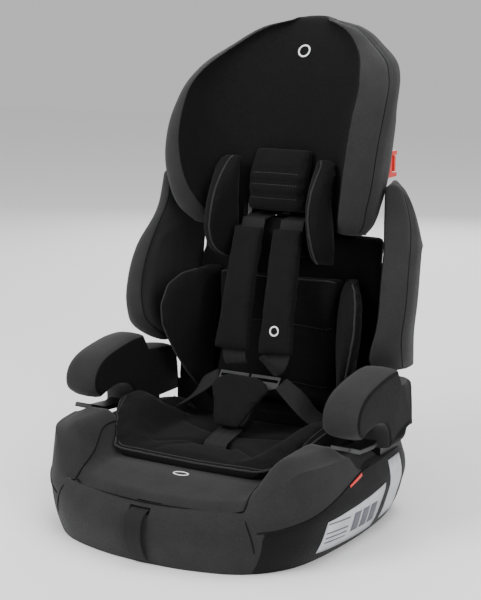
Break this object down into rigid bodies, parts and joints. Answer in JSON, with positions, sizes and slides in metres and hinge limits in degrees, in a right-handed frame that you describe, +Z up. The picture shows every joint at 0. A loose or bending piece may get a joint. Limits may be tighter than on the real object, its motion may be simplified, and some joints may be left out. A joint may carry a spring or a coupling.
{
  "type": "convertible car seat",
  "caption": "High-back child car seat with booster base, armrests, five-point harness, torso wings, infant inserts and a height-adjustable winged headrest.",
  "frame": {"origin": "centre of the base's underside, on the floor", "axes": "+Z up, the seat faces -Y, +X is the seated child's left"},
  "size_m": [0.455, 0.5073, 0.666],
  "materials": {
    "black_plastic": "matt moulded polypropylene",
    "grey_plastic": "fine-grained moulded nylon",
    "red_plastic": "satin red",
    "white_foam": "moulded expanded polystyrene",
    "steel": "zinc plated",
    "charcoal_fabric": "heathered knit over foam",
    "black_fabric": "smooth warp knit over foam",
    "webbing": "woven polyester webbing"
  },
  "bodies": {
    "base": {"base_shell": "black_plastic", "base_cover": "charcoal_fabric", "armrest_cover_left": "charcoal_fabric", "armrest_cover_right": "charcoal_fabric", "lap_belt_guide_left": "red_plastic", "lap_belt_guide_right": "red_plastic", "hinge_rod": "steel", "seat_insert": "black_fabric", "buckle_housing": "black_plastic", "crotch_strap": "webbing", "crotch_pad": "black_fabric", "hip_strap_left": "webbing", "hip_strap_right": "webbing", "hip_anchor_left": "steel", "hip_anchor_right": "steel", "crotch_anchor": "steel", "adjuster_body": "steel", "adjuster_spring": "steel", "adjuster_strap": "webbing", "shoulder_strap_left": "webbing", "shoulder_strap_right": "webbing", "shoulder_pad_left": "black_fabric", "shoulder_pad_right": "black_fabric", "buckle_tongue_left": "steel", "buckle_tongue_right": "steel"},
    "buckle_release": {"buckle_button": "red_plastic"},
    "harness_lock": {"adjuster_lever": "red_plastic"},
    "backrest": {"backrest_shell": "black_plastic", "backrest_pad": "charcoal_fabric", "torso_wing_cover_left": "charcoal_fabric", "torso_wing_cover_right": "charcoal_fabric", "torso_wing_foam_left": "white_foam", "torso_wing_foam_right": "white_foam", "back_insert_lower": "black_fabric", "back_insert_upper": "black_fabric", "insert_bolster_left": "black_fabric", "insert_bolster_right": "black_fabric", "height_rack": "grey_plastic", "harness_yoke": "steel", "yoke_strap": "webbing"},
    "headrest": {"headrest_cover": "charcoal_fabric", "headrest_foam": "white_foam", "headrest_shell": "black_plastic", "head_pillow": "black_fabric", "head_pillow_wing_left": "black_fabric", "head_pillow_wing_right": "black_fabric", "headrest_carrier": "grey_plastic", "adjuster_housing": "black_plastic", "shoulder_belt_guide_left": "red_plastic", "shoulder_belt_guide_right": "red_plastic", "handle_spring_left": "steel", "handle_spring_right": "steel"},
    "height_handle": {"height_handle": "grey_plastic"},
    "height_lock": {"lock_bar": "steel"},
    "belt_gate_left": {"belt_gate_left": "red_plastic"},
    "belt_gate_right": {"belt_gate_right": "red_plastic"}
  },
  "joints": [
    {"name": "backrest_recline", "type": "hinge", "parent": "base", "child": "backrest", "pos_m": [0, 0.2, 0.046], "axis": [1, 0, 0], "range_deg": [-12, 0], "deforming": ["shoulder_strap_left", "shoulder_strap_right"]},
    {"name": "headrest_height", "type": "slide", "parent": "backrest", "child": "headrest", "axis": [0, 0.1564, 0.9877], "range_m": [0, 0.1]},
    {"name": "handle_squeeze", "type": "slide", "parent": "headrest", "child": "height_handle", "axis": [0, 0.1564, 0.9877], "range_m": [0, 0.006], "stiffness_N_per_m": 900},
    {"name": "bar_withdraw", "type": "slide", "parent": "headrest", "child": "height_lock", "axis": [0, 0.9877, -0.1564], "range_m": [0, 0.005]},
    {"name": "buckle_press", "type": "slide", "parent": "base", "child": "buckle_release", "axis": [0, -0.6428, -0.766], "range_m": [0, 0.004], "stiffness_N_per_m": 1500},
    {"name": "harness_lever_press", "type": "hinge", "parent": "base", "child": "harness_lock", "pos_m": [0, -0.158, 0.046], "axis": [1, 0, 0], "range_deg": [-9, 0], "stiffness_Nm_per_rad": 0.8, "deforming": ["adjuster_spring"]},
    {"name": "belt_gate_left_swing", "type": "hinge", "parent": "headrest", "child": "belt_gate_left", "pos_m": [-0.148, 0.213, 0.4631], "axis": [1, 0, 0], "range_deg": [0, 26], "stiffness_Nm_per_rad": 0.05},
    {"name": "belt_gate_right_swing", "type": "hinge", "parent": "headrest", "child": "belt_gate_right", "pos_m": [0.148, 0.213, 0.4631], "axis": [1, 0, 0], "range_deg": [0, 26], "stiffness_Nm_per_rad": 0.05}
  ],
  "couplings": [
    {"joint": "bar_withdraw", "follows": "handle_squeeze", "ratio": 0.8}
  ]
}
